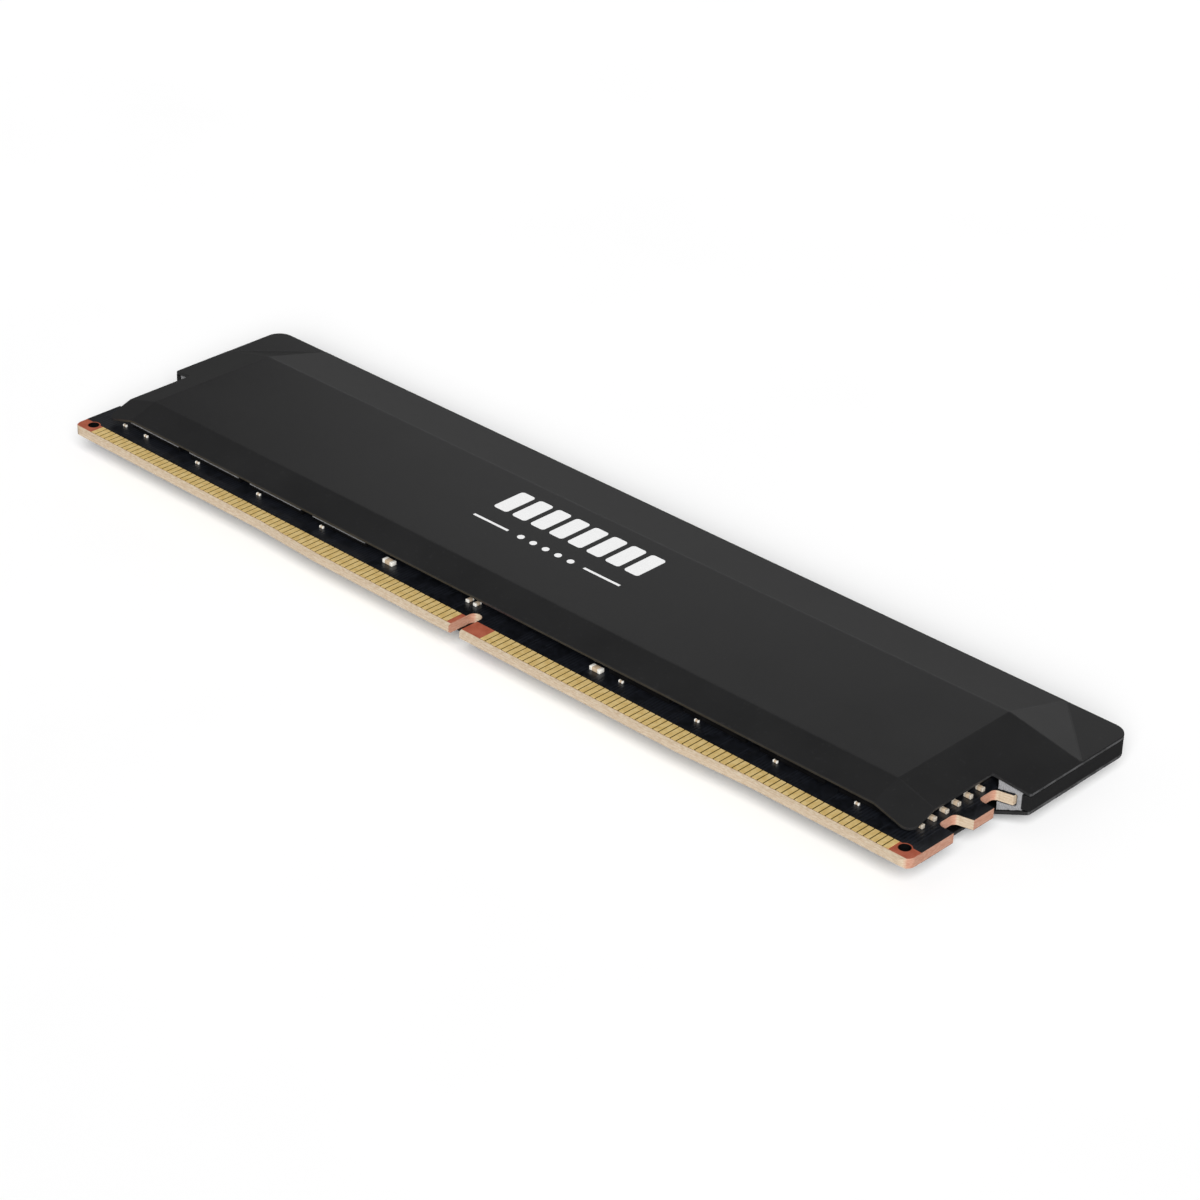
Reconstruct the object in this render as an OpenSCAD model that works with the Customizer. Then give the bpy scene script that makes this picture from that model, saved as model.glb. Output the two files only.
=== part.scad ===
// Memory module with a two-part faceted heat spreader, lying on its back cover.
// X runs along the module, Y from the contact edge to the top edge, Z up from the back cover.
// Drawn in the board's own frame: X = 0 mid length, Y = 0 at the outer contact edge,
// Z = 0 on the board's front face. seat() then moves it to the module's frame.

/* [Board] */
// Length of the board
board_l = 133.35; // [133.35:0.01:133.35]
// Thickness of the board with its solder mask
board_t = 1.27; // [1.2:0.01:1.4]
// Height of the board above the outer contact edge
board_top = 30.75; // [30.5:0.05:31]
// How far the middle of the contact edge stands out
edge_step = 0.5; // [0:0.1:0.8]
// Radius of the board's lower corners
board_corner_r = 1.3; // [0.3:0.1:1.5]
// Height and depth of the bevel along the contact edge
bevel = [0.35, 0.2];
// Thickness of the solder mask
mask_t = 0.03; // [0.02:0.01:0.05]
// Height of the solder mask's lower edge
mask_y = 2.28; // [2.25:0.01:2.8]
// Width of the bare ring round a corner hole
mask_clear = 0.2; // [0.15:0.05:0.3]

/* [Contacts] */
// Spacing of the contacts
pitch = 0.85; // [0.85:0.01:0.85]
// Number of contacts left of the key notch
left_count = 75; // [70:1:75]
// Number of contacts right of the key notch
right_count = 69; // [60:1:69]
// Place of the first contact on the left
left_first_x = -63.225; // [-63.5:0.005:-63]
// Place of the first contact on the right
right_first_x = 5.7; // [5.4:0.005:5.8]
// Width of a contact
pad_w = 0.65; // [0.5:0.05:0.75]
// Height of a contact's upper end
pad_top = 2.22; // [2:0.01:2.25]
// Height of a contact's lower end over the edge below it
pad_gap = 0.4; // [0.36:0.01:0.5]
// Thickness of a contact
pad_t = 0.05; // [0.03:0.01:0.06]

/* [Notches and holes] */
// Middle of the key notch
key_x = 1.575; // [1.4:0.005:1.8]
// Width of the key notch
key_w = 1.75; // [1.6:0.05:1.8]
// Depth of the key notch
key_depth = 3.6; // [3.2:0.1:4]
// Depth of the latch notches
latch_depth = 2.2; // [2:0.1:2.3]
// Lower ends of the latch notches
latch_y = [7.5, 14.2];
// Height of a latch notch
latch_h = 3.0; // [2.8:0.1:3.1]
// Corner radius in a latch notch
latch_r = 0.75; // [0.5:0.05:0.9]
// Rise of a latch notch's upper side towards the board's end
latch_flare = 0.55; // [0.3:0.05:0.6]
// Distance of a corner hole from the middle of the board
hole_x = 64.85; // [64.5:0.05:65]
// Height of a corner hole
hole_y = 1.8; // [1.6:0.05:2]
// Radius of a corner hole
hole_r = 0.65; // [0.6:0.05:0.8]

/* [Heat spreader] */
// Sheet thickness of a cover
sheet_t = 0.42; // [0.35:0.01:0.5]
// Height of a cover's plateau above the board's face
plateau_h = 3.41; // [3.2:0.01:3.8]
// Half the length of the plateau
plateau_x = 59.3; // [58:0.1:60]
// Lower and upper edge of the plateau
plateau_y = [7.2, 25.9];
// Height of a cover's wings above the board's face
wing_h = 0.68; // [0.6:0.01:0.8]
// Half the width of a cover between the latch cut-outs
waist_x = 64.2; // [64:0.1:64.4]
// Half the width of a cover across the wings
wing_x = 68.4; // [68:0.1:69]
// Lower edge of a cover
lip_y = 3.4; // [3.2:0.1:3.6]
// Height of a cover's lower edge above the board's face
lip_h = 2.15; // [2:0.01:2.3]
// Upper edge of a cover
crest_y = 35.9; // [35.5:0.1:36.5]
// Lower corner of a wing: at the waist and at the outer edge
wing_y = [16.9, 18.1];
// Radius of the upper corners
crest_r = 2.0; // [1.8:0.1:3]
// Radius of the lower corners
lip_r = 1.4; // [1:0.1:2]
// Thickness of the frame between the covers
frame_w = 0.95; // [0.8:0.05:1.1]
// Depth of the label's recess in the back cover
label_recess = 0.12; // [0.08:0.01:0.15]
// Length and height of the label
label_size = [62, 15];

/* [Memory packages] */
// Length and height of a memory package
chip_size = [9, 11]; // [7:0.5:11]
// Height of a package's top above the board
chip_top = 0.9; // [0.8:0.05:1.1]
// Height of the solder balls
ball_h = 0.22; // [0.2:0.01:0.3]
// Lower edge of the packages
chip_y = 4.65; // [4.6:0.05:4.8]
// First package and spacing, left of the middle
chips_left = [-56.2, 11.13];
// First package and spacing, right of the middle
chips_right = [25.2, 11.0];

/* [Hidden] */

$fn = 48;
far = 300;
core_t = board_t - 2 * mask_t;
y_mid = (crest_y - edge_step) / 2;
face_z = plateau_h + board_t;
ramp_x = [[-31.875, -21.675], [45.475, 35.275]];
corner_x = [59.6, 68.4];
corner_y = [35.9, 27.0];
drop_h = plateau_h - wing_h;
side_slope = drop_h / (wing_x - plateau_x);
crest_slope = drop_h / (crest_y - plateau_y[1]);
lip_slope = (plateau_h - lip_h) / (plateau_y[0] - lip_y);
corner_run = [corner_x[1] - plateau_x, corner_y[1] - plateau_y[1]];
crest_run = [corner_x[0] - plateau_x, corner_y[0] - plateau_y[1]];
corner_det = corner_run[0] * crest_run[1] - crest_run[0] * corner_run[1];
corner_slope = [drop_h * (crest_run[1] - corner_run[1]) / corner_det,
                drop_h * (corner_run[0] - crest_run[0]) / corner_det];
chip_x = concat([for (i = [0:3]) chips_left[0] + i * chips_left[1]],
                [for (i = [0:3]) chips_right[0] + i * chips_right[1]]);
label_margin = 0.2;
label_corner_r = 1;
glue_t = 0.02;
mark_x = 0.3;
mark_t = 0.02;
cell_y = [18.4, 23.4];
cell_w = 2.2;
cell_step = 3.0;
cell_r = 0.45;
line_y = 15.4;
line_x = 8.9;
line_size = [5.6, 0.35];
dot_step = 2.0;
dot_r = 0.45;

// Small parts on the board's front face: places of their middles, and sizes.
power_at = [0.5, 13.5];
power_size = [5, 5, 0.8];
hub_at = [-13.6, 9.5];
hub_size = [3, 2, 0.6];
inductor_at = [[-8.2, 12.5], [-8.2, 18.2], [9.4, 15.5]];
inductor_size = [4.2, 4.2, 1.9];
bulk_size = [1.6, 0.8, 0.8];
bulk_x = [for (i = [0:3]) -3.6 + 3.1 * i];
bulk_y = [19.6, 21.8];
bulk_column_x = 14.6;
bulk_column_y = [9.6, 11.8, 14.0, 16.2];
side_x = 63.55;
side_y = [for (i = [0:5]) 5.8 + 2.0 * i];
side_size = [1.0, 0.5, 0.5];
strip_at = [[-14.0, 4.25], [19.2, 4.25]];
strip_size = [1.6, 0.8, 0.5];
pair_at = [[-1.35, 4.9], [-0.15, 4.9]];
pair_size = [0.5, 1.0, 0.4];
marker_y = 4.35;
marker_x = concat([-61.8, -57.8], [for (i = [0:2]) -48.1 + 11.2 * i], [for (i = [0:3]) 22.8 + 11.2 * i]);
marker_size = [0.6, 0.3, 0.3];
decoupling_x = [for (i = [-2.5:2.5]) 1.6 * i];
decoupling_y = [16.6, 18.6];
decoupling_size = [0.5, 1.0, 0.5];
resistor_x = [for (i = [-1.5:1.5]) 2.2 * i];
resistor_y = 21.4;
resistor_size = [1.6, 0.8, 0.35];

// Solder balls under a package, from its middle, and the dimple by its first ball.
ball_r = 0.22;
ball_columns = [-3.2, -2.4, -1.6, 1.6, 2.4, 3.2];
ball_rows = [for (i = [-6:6]) 0.8 * i];
dimple_inset = 0.9;
dimple_r = 0.35;
dimple_depth = 0.06;

// Filling between the covers.
left_pad_overhang = 0.32;
right_pad_inset = 2.0;
back_pad_size = [112, 18];
back_pad_y = 7.5;
foam_y = [10, 33.5];
foam_inner_x = waist_x + 0.5;
foam_gap = 0.2;
foam_rise = 0.15;
frame_rise = 0.1;

// Height of the contact edge at x: the middle stands out by edge_step behind two ramps.
function ramp(x, r) = min(1, max(0, (x - r[0]) / (r[1] - r[0])));
function edge_y(x) = -edge_step * min(ramp(x, ramp_x[0]), ramp(x, ramp_x[1]));

// The contact edge from end to end.
function edge_line() = [[-board_l / 2, 0], [ramp_x[0][0], 0], [ramp_x[0][1], -edge_step],
                        [ramp_x[1][1], -edge_step], [ramp_x[1][0], 0], [board_l / 2, 0]];

// Moves a node from the board's frame to the module's frame.
module seat() {
    translate([0, -y_mid, face_z]) children();
}

// Turns a shape drawn on the front face over to the back face.
module flip() {
    translate([0, 0, -board_t]) mirror([0, 0, 1]) children();
}

module both_sides() {
    children();
    mirror([1, 0, 0]) children();
}

module rounded_rect(x0, y0, x1, y1, r) {
    translate([x0 + r, y0]) square([x1 - x0 - 2 * r, y1 - y0]);
    translate([x0, y0 + r]) square([x1 - x0, y1 - y0 - 2 * r]);
    for (x = [x0 + r, x1 - r], y = [y0 + r, y1 - r]) translate([x, y]) circle(r);
}

module block(x, y, z, size) {
    translate([x - size[0] / 2, y - size[1] / 2, z]) cube(size);
}

// Board outline with the stepped contact edge, notches and corner holes.
module board_2d() {
    difference() {
        polygon(concat(edge_line(), [[board_l / 2, board_top], [-board_l / 2, board_top]]));
        both_sides() board_corner_2d();
        both_sides() for (y = latch_y) latch_notch_2d(y);
        both_sides() translate([hole_x, hole_y]) circle(hole_r);
        key_notch_2d();
    }
}

module board_corner_2d() {
    difference() {
        translate([board_l / 2 - board_corner_r, -board_corner_r]) square(2 * board_corner_r);
        translate([board_l / 2 - board_corner_r, board_corner_r]) circle(board_corner_r);
    }
}

// The upper side of a latch notch opens outwards.
module latch_notch_2d(y) {
    inner = board_l / 2 - latch_depth;
    middle = y + latch_h / 2;
    outside = inner + 2 * latch_h;
    flare_end = inner + latch_h;
    rounded_rect(inner, y, outside, y + latch_h, latch_r);
    polygon([[inner + latch_r, y + latch_h], [flare_end, y + latch_h + latch_flare],
             [flare_end, middle], [inner + latch_r, middle]]);
}

// Everything in front of the bevel along the contact edge.
module bevelled_off() {
    steep = -bevel[1] / bevel[0];
    intersection() {
        above_plane([0, bevel[0], -mask_t], [0, steep]);
        union() {
            above_plane([0, bevel[0] - edge_step, -mask_t], [0, steep]);
            for (r = ramp_x)
                above_plane([r[0], bevel[0], -mask_t], [steep * edge_step / (r[1] - r[0]), steep]);
        }
    }
}

module key_notch_2d() {
    translate([key_x - key_w / 2, -key_depth]) square([key_w, 2 * key_depth - key_w / 2]);
    translate([key_x, key_depth - key_w / 2]) circle(key_w / 2);
}

module mask_2d() {
    intersection() {
        difference() {
            board_2d();
            both_sides() translate([hole_x, hole_y]) circle(hole_r + mask_clear);
        }
        translate([-far / 2, mask_y]) square([far, far]);
    }
}

module contact_row(first_x, count) {
    for (i = [0:count - 1]) {
        x = first_x + i * pitch;
        y = edge_y(x) + pad_gap;
        translate([x - pad_w / 2, y, -mask_t]) cube([pad_w, pad_top - y, pad_t]);
    }
}

// Half-space above a plane through p that falls by slope[0] along X and slope[1] along Y.
module above_plane(p, slope) {
    translate(p) rotate(a = atan(norm(slope)), v = [-slope[1], slope[0], 0])
        translate([-far / 2, -far / 2, 0]) cube(far);
}

module slab(low, high) {
    translate([-far / 2, -far / 2, low]) cube([far, far, high - low]);
}

// Everything under a cover's plateau and facets, lowered by drop.
module under_facets(drop) {
    top = plateau_h - drop;
    difference() {
        slab(0, top);
        above_plane([0, plateau_y[1], top], [0, crest_slope]);
        above_plane([0, plateau_y[0], top], [0, -lip_slope]);
        both_sides() {
            above_plane([plateau_x, 0, top], [side_slope, 0]);
            above_plane([plateau_x, plateau_y[1], top], corner_slope);
            above_plane([plateau_x, plateau_y[0], top], [side_slope, -lip_slope]);
        }
    }
    slab(0, wing_h - drop);
}

// Outline of a cover, drawn in by inset along the wings and the crest.
module cover_2d(inset) {
    middle = (lip_y + crest_y) / 2;
    rounded_rect(-waist_x, lip_y, waist_x, middle + lip_r, lip_r);
    difference() {
        rounded_rect(-wing_x + inset, lip_y, wing_x - inset, crest_y - inset, crest_r - inset);
        below_wings_2d(0);
    }
}

// The region below the wings' slanting lower edges, raised by rise.
module below_wings_2d(rise) {
    run = wing_x - waist_x;
    fall = wing_y[1] - wing_y[0];
    outer_y = wing_y[1] + fall + rise;
    polygon([[-wing_x - run, outer_y], [-waist_x, wing_y[0] + rise], [waist_x, wing_y[0] + rise],
             [wing_x + run, outer_y], [wing_x + run, 0], [-wing_x - run, 0]]);
}

module cover_sheet() {
    difference() {
        intersection() {
            translate([0, 0, wing_h - sheet_t]) linear_extrude(plateau_h) cover_2d(0);
            under_facets(0);
        }
        under_facets(sheet_t);
    }
}

module laminate_board() {
    color([0.50, 0.24, 0.16]) seat() difference() {
        translate([0, 0, -mask_t - core_t]) linear_extrude(core_t) board_2d();
        bevelled_off();
        flip() bevelled_off();
    }
}

module solder_mask_front() {
    color([0.05, 0.055, 0.06]) seat() translate([0, 0, -mask_t]) linear_extrude(mask_t) mask_2d();
}

module solder_mask_back() {
    color([0.05, 0.055, 0.06]) seat() flip() translate([0, 0, -mask_t]) linear_extrude(mask_t) mask_2d();
}

module contacts_front_left() {
    color([0.86, 0.75, 0.45]) seat() contact_row(left_first_x, left_count);
}

module contacts_front_right() {
    color([0.86, 0.75, 0.45]) seat() contact_row(right_first_x, right_count);
}

module contacts_back_left() {
    color([0.86, 0.75, 0.45]) seat() flip() contact_row(left_first_x, left_count);
}

module contacts_back_right() {
    color([0.86, 0.75, 0.45]) seat() flip() contact_row(right_first_x, right_count);
}

// A moulded package on solder balls, with a dimple by its first ball.
module memory_chip(i) {
    y = chip_y + chip_size[1] / 2;
    color([0.07, 0.07, 0.075]) seat() difference() {
        block(chip_x[i], y, ball_h, [chip_size[0], chip_size[1], chip_top - ball_h]);
        translate([chip_x[i] - chip_size[0] / 2, chip_y + chip_size[1], chip_top])
            translate([dimple_inset, -dimple_inset, -dimple_depth]) cylinder(h = 1, r = dimple_r);
    }
}

module memory_chip_1() { memory_chip(0); }
module memory_chip_2() { memory_chip(1); }
module memory_chip_3() { memory_chip(2); }
module memory_chip_4() { memory_chip(3); }
module memory_chip_5() { memory_chip(4); }
module memory_chip_6() { memory_chip(5); }
module memory_chip_7() { memory_chip(6); }
module memory_chip_8() { memory_chip(7); }

// Two banks of three columns of balls under each package.
module solder_balls() {
    y = chip_y + chip_size[1] / 2;
    color([0.75, 0.75, 0.76]) seat() for (x = chip_x, column = ball_columns, row = ball_rows)
        translate([x + column, y + row, 0]) cylinder(h = ball_h, r = ball_r, $fn = 8);
}

module power_chip() {
    color([0.08, 0.08, 0.085]) seat() block(power_at[0], power_at[1], 0, power_size);
}

module power_inductors() {
    color([0.30, 0.30, 0.32]) seat() for (at = inductor_at) block(at[0], at[1], 0, inductor_size);
}

module bulk_capacitors() {
    color([0.72, 0.58, 0.42]) seat() {
        for (x = bulk_x, y = bulk_y) block(x, y, 0, bulk_size);
        for (y = bulk_column_y) block(bulk_column_x, y, 0, bulk_size);
    }
}

module hub_chip() {
    color([0.08, 0.08, 0.085]) seat() block(hub_at[0], hub_at[1], 0, hub_size);
}

// Six capacitors in the gap between the front cover's side and the latch notches.
module side_capacitors() {
    color([0.74, 0.62, 0.48]) seat() for (y = side_y) block(side_x, y, 0, side_size);
}

// Larger capacitors on the strip below the front cover's lip.
module front_capacitors() {
    color([0.74, 0.62, 0.48]) seat() {
        for (at = strip_at) block(at[0], at[1], 0, strip_size);
        for (at = pair_at) block(at[0], at[1], 0, pair_size);
    }
}

// One tiny capacitor before each memory package, and one more at the left end.
module marker_capacitors() {
    color([0.90, 0.90, 0.88]) seat() for (x = marker_x) block(x, marker_y, 0, marker_size);
}

module decoupling_capacitors() {
    color([0.74, 0.62, 0.48]) seat() for (x = chip_x, dx = decoupling_x, y = decoupling_y)
        block(x + dx, y, 0, decoupling_size);
}

module resistors() {
    color([0.10, 0.10, 0.11]) seat() for (x = chip_x, dx = resistor_x)
        block(x + dx, resistor_y, 0, resistor_size);
}

// A pad that fills the height from z up to the front cover over a rectangle.
module fill_to_cover(x, y0, size, z) {
    intersection() {
        translate([x - size[0] / 2, y0, z]) cube([size[0], size[1], plateau_h]);
        under_facets(sheet_t);
    }
}

module thermal_pads_left() {
    size = [chip_size[0], chip_size[1] + left_pad_overhang];
    color([0.50, 0.50, 0.52]) seat() for (i = [0:3])
        fill_to_cover(chip_x[i], chip_y - left_pad_overhang, size, chip_top);
}

module thermal_pads_right() {
    size = [chip_size[0], chip_size[1] - right_pad_inset];
    color([0.50, 0.50, 0.52]) seat() for (i = [4:7])
        fill_to_cover(chip_x[i], chip_y + right_pad_inset, size, chip_top);
}

module thermal_pad_power() {
    color([0.50, 0.50, 0.52]) seat()
        fill_to_cover(power_at[0], power_at[1] - power_size[1] / 2, power_size, power_size[2]);
}

module thermal_pad_back() {
    color([0.50, 0.50, 0.52]) seat() flip() fill_to_cover(0, back_pad_y, back_pad_size, 0);
}

// Foam in one wing: it fills the room between the covers round the board's end.
module foam_pad() {
    size = [wing_x - frame_w - foam_inner_x, foam_y[1] - foam_y[0], 2 * plateau_h + board_t];
    difference() {
        intersection() {
            translate([foam_inner_x, foam_y[0], -board_t - plateau_h]) cube(size);
            union() {
                translate([0, 0, -0.01]) under_facets(sheet_t);
                flip() under_facets(sheet_t);
                slab(-board_t, 0);
            }
        }
        translate([0, 0, -far / 2]) linear_extrude(far) below_wings_2d(foam_rise);
        translate([0, 0, -board_t - foam_gap]) cube([board_l / 2 + foam_gap / 2, far, board_t + foam_gap]);
    }
}

module foam_pad_right() {
    color([0.51, 0.51, 0.53]) seat() foam_pad();
}

module foam_pad_left() {
    color([0.51, 0.51, 0.53]) seat() mirror([1, 0, 0]) foam_pad();
}

// The frame stands between the flat rims of the covers, round the wings and the crest.
module edge_frame() {
    top = wing_h - sheet_t;
    height = board_t + 2 * top;
    color([0.12, 0.12, 0.125]) seat() translate([0, 0, top - height]) linear_extrude(height) difference() {
        cover_2d(0);
        cover_2d(frame_w);
        below_wings_2d(frame_rise);
    }
}

module cover_front() {
    color([0.17, 0.17, 0.175]) seat() cover_sheet();
}

module cover_back() {
    color([0.17, 0.17, 0.175]) seat() difference() {
        flip() cover_sheet();
        translate([0, y_mid, -face_z - 1]) linear_extrude(label_recess + 1) label_2d(0);
    }
}

// Outline of the label's recess, drawn in by inset.
module label_2d(inset) {
    half = label_size / 2 - [inset, inset];
    rounded_rect(-half[0], -half[1], half[0], half[1], label_corner_r - inset);
}

module blank_label() {
    color([0.85, 0.85, 0.84]) translate([0, 0, glue_t]) linear_extrude(label_recess - glue_t)
        label_2d(label_margin);
}

// A generic mark: a row of eight cells over a broken line.
module printed_mark() {
    color([0.93, 0.93, 0.93]) seat() translate([mark_x, 0, plateau_h]) linear_extrude(mark_t) {
        for (i = [-3.5:3.5]) translate([i * cell_step, 0])
            rounded_rect(-cell_w / 2, cell_y[0], cell_w / 2, cell_y[1], cell_r);
        for (side = [-1, 1]) translate([side * line_x, line_y]) square(line_size, center = true);
        for (i = [-2:2]) translate([i * dot_step, line_y]) circle(dot_r);
    }
}

laminate_board();
solder_mask_front();
solder_mask_back();
contacts_front_left();
contacts_front_right();
contacts_back_left();
contacts_back_right();
memory_chip_1();
memory_chip_2();
memory_chip_3();
memory_chip_4();
memory_chip_5();
memory_chip_6();
memory_chip_7();
memory_chip_8();
solder_balls();
power_chip();
power_inductors();
bulk_capacitors();
hub_chip();
side_capacitors();
front_capacitors();
marker_capacitors();
decoupling_capacitors();
resistors();
thermal_pads_left();
thermal_pads_right();
thermal_pad_power();
thermal_pad_back();
foam_pad_left();
foam_pad_right();
edge_frame();
cover_front();
cover_back();
blank_label();
printed_mark();
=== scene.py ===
"""Looks of a memory module: two faceted covers round a circuit board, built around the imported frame."""
import math

import bmesh
import bpy
from mathutils import Matrix, Vector, noise
from mathutils.geometry import delaunay_2d_cdt


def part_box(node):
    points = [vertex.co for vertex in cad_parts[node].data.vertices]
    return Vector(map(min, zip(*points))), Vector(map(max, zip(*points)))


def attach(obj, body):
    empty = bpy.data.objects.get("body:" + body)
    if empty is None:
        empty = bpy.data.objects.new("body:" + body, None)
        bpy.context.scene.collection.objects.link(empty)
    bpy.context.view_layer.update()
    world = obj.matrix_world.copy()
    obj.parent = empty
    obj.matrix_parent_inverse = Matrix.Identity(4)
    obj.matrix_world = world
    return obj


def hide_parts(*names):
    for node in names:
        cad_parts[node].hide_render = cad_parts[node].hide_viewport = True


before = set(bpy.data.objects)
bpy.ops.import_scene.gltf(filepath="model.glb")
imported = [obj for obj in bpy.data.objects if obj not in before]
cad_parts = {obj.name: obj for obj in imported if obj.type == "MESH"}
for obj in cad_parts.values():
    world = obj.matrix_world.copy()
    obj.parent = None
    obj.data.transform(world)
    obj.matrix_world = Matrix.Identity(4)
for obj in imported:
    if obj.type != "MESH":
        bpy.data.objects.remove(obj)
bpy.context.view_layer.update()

MM = 0.001


def box_mm(node):
    """Lowest and highest corner of a CAD node, in millimetres."""
    low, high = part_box(node)
    return Vector(low) / MM, Vector(high) / MM


# ---------------------------------------------------------------- sizes, in millimetres

cover_low, cover_high = box_mm("cover_front")
board_low, board_high = box_mm("laminate_board")
MID_Z = (board_low.z + board_high.z) / 2

SHEET_T = 0.42
PLATEAU_H = cover_high.z - MID_Z
LEDGE_H = cover_low.z + SHEET_T - MID_Z
PLATEAU_X = 59.3
PLATEAU_Y = (-10.5, 8.2)
WAIST_X = 64.2
WING_X = cover_high.x
LIP_Y = cover_low.y
CREST_Y = cover_high.y
WING_Y = (-0.8, 0.4)
LIP_RISE = 2.15
LIP_H = LIP_RISE + box_mm("solder_mask_front")[1].z - MID_Z
CORNER_AT = ((59.6, CREST_Y), (WING_X, 9.3))
LIP_R = 1.4
NECK_R = 0.25
WING_R = 0.4
CREST_R = 2.0
CREASE = 0.03
SHEET_EDGE_R = 0.09
HOLE_AT = (64.85, -15.9)
HOLE_R = 0.65
LEFT_CONTACTS_END = (0.02, 0.07)
RIGHT_CONTACTS_START = (5.30, 5.35)
CONTACTS_HALF = 63.55
LABEL_RECESS = 0.12
LABEL_HALF = (31.0, 7.5)
LABEL_R = 1.0
LABEL_MARGIN = 1.4


# ---------------------------------------------------------------- materials

class Recipe:
    """A procedural material whose texture coordinates are the frame's own, in millimetres."""

    def __init__(self, name, **sockets):
        self.material = bpy.data.materials.new(name)
        self.material.use_nodes = True
        self.tree = self.material.node_tree
        self.shader = self.tree.nodes["Principled BSDF"]
        for socket, value in sockets.items():
            self.shader.inputs[socket.replace("_", " ")].default_value = value
        coordinates = self.tree.nodes.new("ShaderNodeTexCoord")
        self.place = self.math_vector("MULTIPLY", coordinates.outputs["Object"], (1 / MM,) * 3)

    def add(self, kind, **settings):
        node = self.tree.nodes.new("ShaderNode" + kind)
        for key, value in settings.items():
            setattr(node, key, value)
        return node

    def feed(self, socket, value):
        if isinstance(value, bpy.types.NodeSocket):
            self.tree.links.new(value, socket)
        else:
            socket.default_value = value

    def give(self, socket, value):
        self.feed(self.shader.inputs[socket], value)

    def math_vector(self, operation, a, b):
        node = self.add("VectorMath", operation=operation)
        self.feed(node.inputs[0], a)
        self.feed(node.inputs[1], b)
        return node.outputs[0]

    def math(self, operation, *values):
        node = self.add("Math", operation=operation)
        for socket, value in zip(node.inputs, values):
            self.feed(socket, value)
        return node.outputs[0]

    def noise(self, size, detail=3.0, roughness=0.55, stretch=(1, 1, 1), distortion=0.0):
        """Noise whose features are about size millimetres across, stretched along the axes."""
        node = self.add("TexNoise")
        scale = tuple(1 / s for s in stretch)
        self.feed(node.inputs["Vector"], self.math_vector("MULTIPLY", self.place, scale))
        node.inputs["Scale"].default_value = 1 / size
        node.inputs["Detail"].default_value = detail
        node.inputs["Roughness"].default_value = roughness
        node.inputs["Distortion"].default_value = distortion
        return node.outputs["Fac"]

    def cells(self, size, feature="F1"):
        node = self.add("TexVoronoi", feature=feature)
        self.feed(node.inputs["Vector"], self.place)
        node.inputs["Scale"].default_value = 1 / size
        return node.outputs["Distance"]

    def waves(self, size, axis, distortion=0.0):
        """Bands size millimetres apart along one axis; at scale 1 they are pi / 10 apart."""
        node = self.add("TexWave", wave_type="BANDS", bands_direction=axis, wave_profile="SIN")
        self.feed(node.inputs["Vector"], self.place)
        node.inputs["Scale"].default_value = math.pi / 10 / size
        node.inputs["Distortion"].default_value = distortion
        return node.outputs["Fac"]

    def remap(self, value, low, high, to_low=0.0, to_high=1.0):
        node = self.add("MapRange", clamp=True)
        for socket, given in zip(node.inputs, (value, low, high, to_low, to_high)):
            self.feed(socket, given)
        return node.outputs["Result"]

    def mix(self, factor, a, b):
        node = self.add("Mix", data_type="RGBA")
        self.feed(node.inputs["Factor"], factor)
        for socket, colour in ((node.inputs[6], a), (node.inputs[7], b)):
            self.feed(socket, colour if isinstance(colour, bpy.types.NodeSocket) else (*colour, 1.0))
        return node.outputs[2]

    def normal(self, axis):
        """How far the surface faces along an axis, from 0 to 1."""
        geometry = self.add("NewGeometry")
        split = self.add("SeparateXYZ")
        self.feed(split.inputs[0], geometry.outputs["True Normal"])
        return self.math("ABSOLUTE", split.outputs[axis])

    def where(self, axis):
        split = self.add("SeparateXYZ")
        self.feed(split.inputs[0], self.place)
        return split.outputs[axis]

    def attribute(self, name):
        return self.add("Attribute", attribute_name=name).outputs["Fac"]

    def bump(self, height, strength, depth):
        """Bump depth millimetres deep, laid over any bump given before."""
        node = self.add("Bump")
        node.inputs["Strength"].default_value = strength
        node.inputs["Distance"].default_value = depth * MM
        self.feed(node.inputs["Height"], height)
        before = self.shader.inputs["Normal"].links
        if before:
            self.feed(node.inputs["Normal"], before[0].from_socket)
        self.give("Normal", node.outputs["Normal"])


def cover_paint(name="satin_black_paint", base=0.0107, roughness=0.32, gloss=0.5):
    """Black paint with a fine grain, faint clouding, and edges and creases lightened, partly as rubbed wear
    and partly as painted highlight.
    """
    r = Recipe(name, Specular_IOR_Level=gloss)
    grain = r.noise(0.16, detail=2.0)
    cloud = r.noise(9.0, detail=3.0)
    speck = r.noise(0.45, detail=1.0)
    dark = (base * 0.86, base * 0.86, base * 0.89)
    light = (base * 1.18, base * 1.18, base * 1.20)
    colour = r.mix(r.remap(cloud, 0.3, 0.7), dark, light)
    colour = r.mix(r.remap(speck, 0.66, 0.74, 0.0, 0.35), colour, (base * 2.2, base * 2.2, base * 2.3))
    # Painted highlight, partly real wear: the sheet's cut edges and creases, as the mesh marks them, are
    # lightened and made a little glossier.
    wear_and_highlight = r.math("MULTIPLY", r.attribute("wear_and_highlight"), r.remap(r.noise(1.3), 0.35, 0.6, 0.35, 1.0))
    colour = r.mix(wear_and_highlight, colour, (base * 6.0, base * 6.0, base * 6.2))
    r.give("Base Color", colour)
    finish = r.remap(cloud, 0.3, 0.7, roughness - 0.03, roughness + 0.03)
    r.give("Roughness", r.math("SUBTRACT", finish, r.math("MULTIPLY", wear_and_highlight, 0.10)))
    r.bump(grain, 0.18, 0.02)
    return r.material


def hole_shade(r):
    """1 on the walls of the two corner holes, where painted shade goes, 0 elsewhere."""
    out = r.math("SUBTRACT", r.math("ABSOLUTE", r.where(0)), HOLE_AT[0])
    up = r.math("SUBTRACT", r.where(1), HOLE_AT[1])
    reach = r.math("SQRT", r.math("ADD", r.math("POWER", out, 2.0), r.math("POWER", up, 2.0)))
    return r.remap(reach, HOLE_R + 0.02, HOLE_R + 0.12, 1.0, 0.0)


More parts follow.
